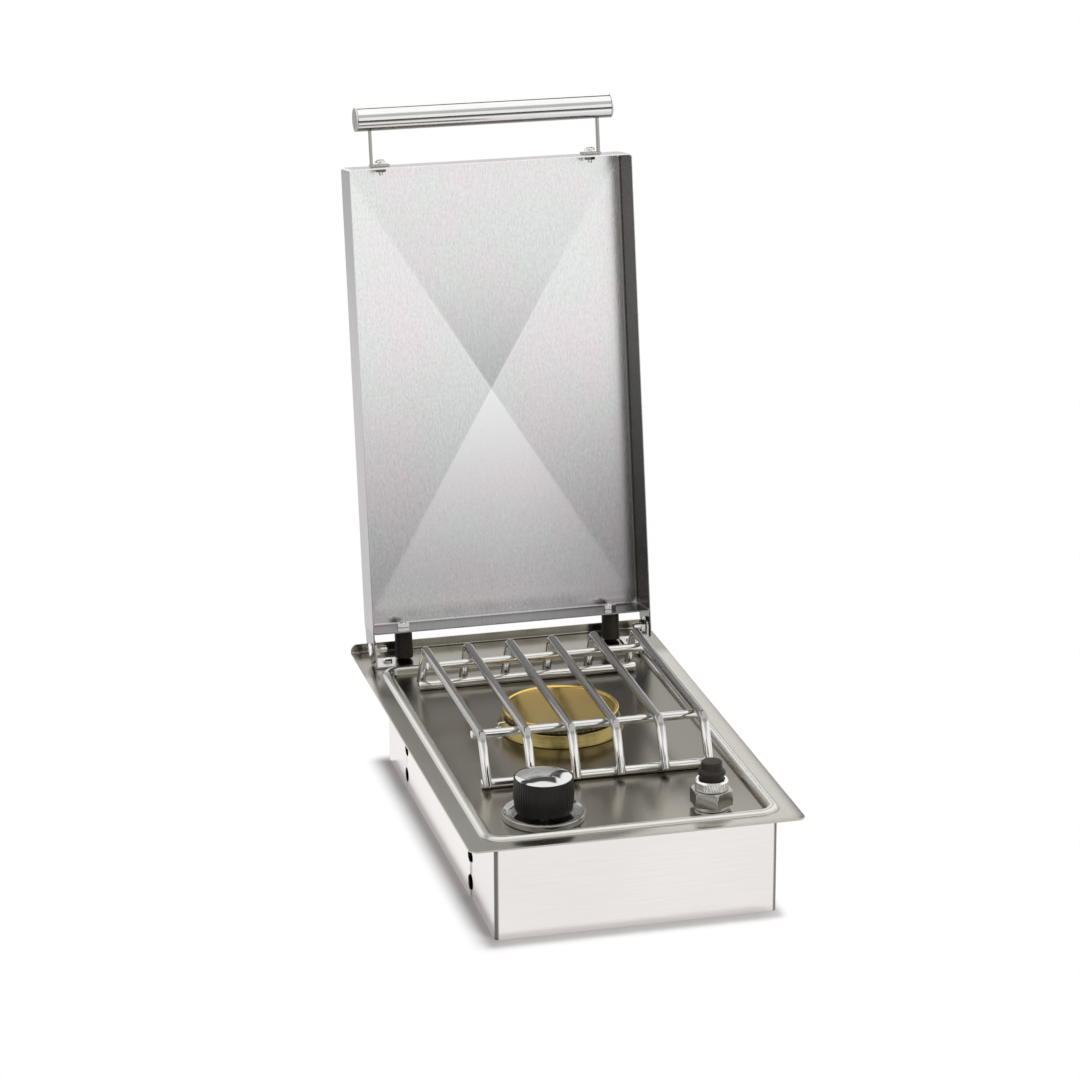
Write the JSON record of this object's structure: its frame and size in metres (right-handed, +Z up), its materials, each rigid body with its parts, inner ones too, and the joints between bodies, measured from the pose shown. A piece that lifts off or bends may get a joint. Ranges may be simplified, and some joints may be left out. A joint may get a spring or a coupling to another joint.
{
  "type": "built in side burner",
  "caption": "Built in gas side burner: stainless flange and casing, brass burner under a lift-off rod grid, valve knob, push igniter and a tall hinged lid with a tube handle.",
  "frame": {"origin": "middle of the casing's underside", "axes": "+X to the user's right, +Y to the rear, +Z up; the knob and igniter are at the front (-Y), the lid's hinge at the rear"},
  "size_m": [0.292, 0.5591, 0.5955],
  "materials": {
    "pan_steel": "polished stainless sheet with a fine grain",
    "casing_steel": "brushed stainless sheet",
    "lid_steel": "brushed stainless sheet, grain along its length",
    "bracket_steel": "plain stainless strip",
    "bright_steel": "bright plated",
    "rod_steel": "polished round rod",
    "chrome_plate": "mirror bright",
    "burner_brass": "satin turned brass",
    "fitting_brass": "turned brass",
    "burner_iron": "dark cast ring",
    "cast_aluminium": "as cast",
    "knob_black": "satin black",
    "black_rubber": "matt rubber",
    "plug_grey": "satin grey",
    "white_ceramic": "glazed"
  },
  "bodies": {
    "housing": {"top_pan": "pan_steel", "casing_front": "casing_steel", "casing_left": "casing_steel", "casing_right": "casing_steel", "casing_rear": "casing_steel", "casing_bottom": "casing_steel", "hinge_bracket_left": "bracket_steel", "hinge_bracket_right": "bracket_steel", "hinge_pin_left": "bright_steel", "hinge_pin_right": "bright_steel", "hinge_nut_left": "bright_steel", "hinge_nut_right": "bright_steel", "bracket_screw_left": "bright_steel", "bracket_screw_right": "bright_steel", "burner_base": "burner_brass", "burner_port_ring": "burner_iron", "burner_cap": "burner_brass", "burner_venturi": "cast_aluminium", "air_shutter": "bracket_steel", "gas_valve_body": "cast_aluminium", "gas_jet": "fitting_brass", "gas_inlet_fitting": "fitting_brass", "knob_bezel": "chrome_plate", "igniter_body": "knob_black", "igniter_washer": "bright_steel", "igniter_nut": "bright_steel", "igniter_collar": "bright_steel", "ignition_lead": "black_rubber", "electrode_ceramic": "white_ceramic", "electrode_tip": "bright_steel", "electrode_bracket": "bracket_steel"},
    "grid": {"grid_rod_1": "rod_steel", "grid_rod_2": "rod_steel", "grid_rod_3": "rod_steel", "grid_rod_4": "rod_steel", "grid_rod_5": "rod_steel", "grid_rod_6": "rod_steel", "grid_cross_top_front": "rod_steel", "grid_cross_top_rear": "rod_steel", "grid_cross_foot_front": "rod_steel", "grid_cross_foot_rear": "rod_steel"},
    "lid": {"lid_shell": "lid_steel", "handle_tube": "chrome_plate", "handle_plug_left": "plug_grey", "handle_plug_right": "plug_grey", "handle_bracket_left": "bracket_steel", "handle_bracket_right": "bracket_steel", "handle_bolt_left": "bright_steel", "handle_bolt_right": "bright_steel", "handle_nut_left": "bright_steel", "handle_nut_right": "bright_steel", "bumper_left": "black_rubber", "bumper_right": "black_rubber", "bumper_nut_left": "bright_steel", "bumper_nut_right": "bright_steel"},
    "spindle": {"valve_spindle": "bracket_steel"},
    "knob": {"knob_body": "knob_black", "knob_insert": "chrome_plate"},
    "igniter_button": {"igniter_boot": "black_rubber"}
  },
  "joints": [
    {"name": "lid_hinge", "type": "hinge", "parent": "housing", "child": "lid", "pos_m": [0, 0.23153, 0.1018], "axis": [-1, 0, 0], "range_deg": [-99.48, 0]},
    {"name": "knob_turn", "type": "hinge", "parent": "housing", "child": "spindle", "pos_m": [-0.0663, -0.15577, 0.0827], "axis": [0, 0, 1], "range_deg": [0, 225]},
    {"name": "knob_push", "type": "slide", "parent": "spindle", "child": "knob", "axis": [0, 0, -1], "range_m": [0, 0.003], "stiffness_N_per_m": 800, "springref_m": -0.004},
    {"name": "igniter_push", "type": "slide", "parent": "housing", "child": "igniter_button", "axis": [0, 0, -1], "range_m": [0, 0.0025], "stiffness_N_per_m": 1500, "springref_m": -0.003},
    {"name": "grid_lift", "type": "slide", "parent": "housing", "child": "grid", "axis": [0, 0, 1], "range_m": [0, 0.06]}
  ]
}
